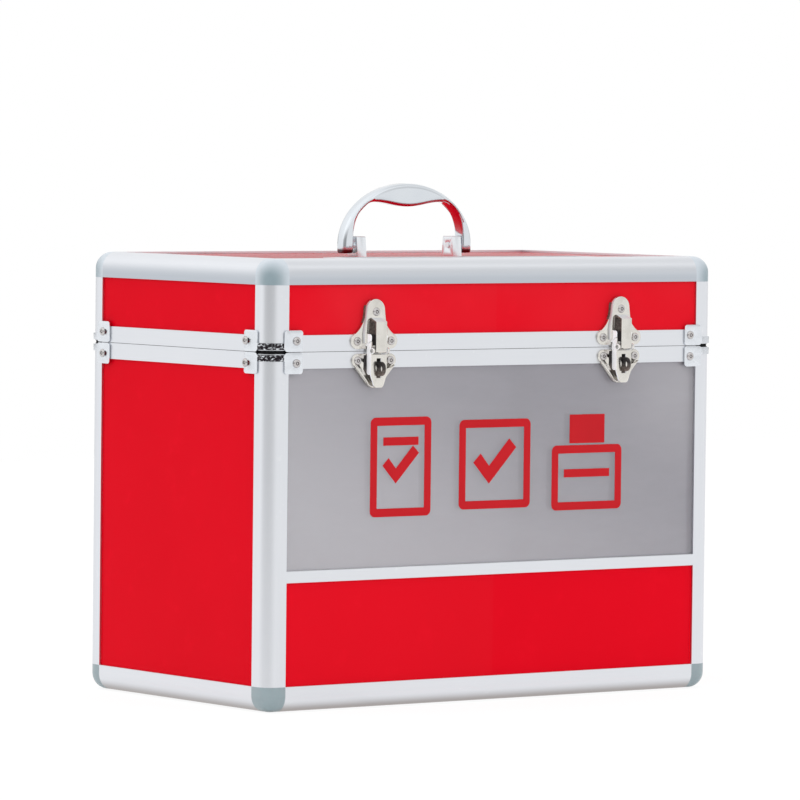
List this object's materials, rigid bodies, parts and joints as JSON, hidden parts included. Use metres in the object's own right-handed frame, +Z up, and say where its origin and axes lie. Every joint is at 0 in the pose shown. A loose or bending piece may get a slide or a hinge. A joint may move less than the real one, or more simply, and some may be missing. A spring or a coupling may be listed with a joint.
{
  "type": "ballot box",
  "caption": "Aluminium-framed ballot box with red panels, a clear front window, a slotted hinged lid, padlockable latches and a folding carry handle.",
  "frame": {"origin": "under the middle of the whole box, on the surface that it stands on", "axes": "+Z up; -Y is the front, with the window and latches; +X to the right as seen from the front"},
  "size_m": [0.3798, 0.2312, 0.3457],
  "materials": {
    "anodised_aluminium": "satin anodised extrusion",
    "red_laminate": "gloss red laminate outside, grey lining inside",
    "clear_acrylic": "clear cast acrylic",
    "red_vinyl": "cut red vinyl",
    "grey_plastic": "moulded grey-green plastic",
    "nickel_steel": "bright nickel plate on pressed steel",
    "polished_chrome": "polished chrome",
    "fastener_steel": "zinc-plated steel",
    "slot_trim": "satin anodised trim",
    "bright_steel": "polished plated steel"
  },
  "bodies": {
    "case": {"bottom_rail_front": "anodised_aluminium", "bottom_rail_rear": "anodised_aluminium", "bottom_rail_left": "anodised_aluminium", "bottom_rail_right": "anodised_aluminium", "case_post_front_left": "anodised_aluminium", "case_post_front_right": "anodised_aluminium", "case_post_rear_left": "anodised_aluminium", "case_post_rear_right": "anodised_aluminium", "case_rim_front": "anodised_aluminium", "case_rim_rear": "anodised_aluminium", "case_rim_left": "anodised_aluminium", "case_rim_right": "anodised_aluminium", "floor_panel": "red_laminate", "front_panel": "red_laminate", "window": "clear_acrylic", "window_divider": "anodised_aluminium", "rear_panel": "red_laminate", "left_panel": "red_laminate", "right_panel": "red_laminate", "bottom_corner_caps": "grey_plastic", "case_corner_braces": "bright_steel", "latch_base_left": "nickel_steel", "latch_base_right": "nickel_steel", "case_hinge_leaves": "bright_steel", "case_rivets": "fastener_steel", "window_marks": "red_vinyl", "hinge_pins": "fastener_steel"},
    "lid": {"top_rail_front": "anodised_aluminium", "top_rail_rear": "anodised_aluminium", "top_rail_left": "anodised_aluminium", "top_rail_right": "anodised_aluminium", "lid_post_front_left": "anodised_aluminium", "lid_post_front_right": "anodised_aluminium", "lid_post_rear_left": "anodised_aluminium", "lid_post_rear_right": "anodised_aluminium", "lid_rim_front": "anodised_aluminium", "lid_rim_rear": "anodised_aluminium", "lid_rim_left": "anodised_aluminium", "lid_rim_right": "anodised_aluminium", "lid_top_panel": "red_laminate", "lid_front_panel": "red_laminate", "lid_rear_panel": "red_laminate", "lid_left_panel": "red_laminate", "lid_right_panel": "red_laminate", "top_corner_caps": "grey_plastic", "lid_corner_braces": "bright_steel", "latch_strike_left": "nickel_steel", "latch_strike_right": "nickel_steel", "latch_pins": "nickel_steel", "lid_hinge_leaves": "bright_steel", "slot_frame": "slot_trim", "handle_foot_left": "polished_chrome", "handle_foot_right": "polished_chrome", "handle_backing_plate": "bright_steel", "handle_screws": "fastener_steel", "lid_rivets": "fastener_steel"},
    "latch_lever_left": {"latch_lever_left": "nickel_steel"},
    "latch_lever_right": {"latch_lever_right": "nickel_steel"},
    "handle": {"handle_bow": "polished_chrome", "handle_pins": "fastener_steel"}
  },
  "joints": [
    {"name": "lid_hinge", "type": "hinge", "parent": "case", "child": "lid", "pos_m": [0, 0.11265, 0.2365], "axis": [-1, 0, 0], "range_deg": [0, 105]},
    {"name": "handle_swing", "type": "hinge", "parent": "lid", "child": "handle", "pos_m": [0, 0.00335, 0.3035], "axis": [1, 0, 0], "range_deg": [-90, 90]},
    {"name": "latch_left_swing", "type": "hinge", "parent": "lid", "child": "latch_lever_left", "pos_m": [-0.1032, -0.11035, 0.2369], "axis": [-1, 0, 0], "range_deg": [0, 120]},
    {"name": "latch_right_swing", "type": "hinge", "parent": "lid", "child": "latch_lever_right", "pos_m": [0.1032, -0.11035, 0.2369], "axis": [-1, 0, 0], "range_deg": [0, 120]}
  ]
}
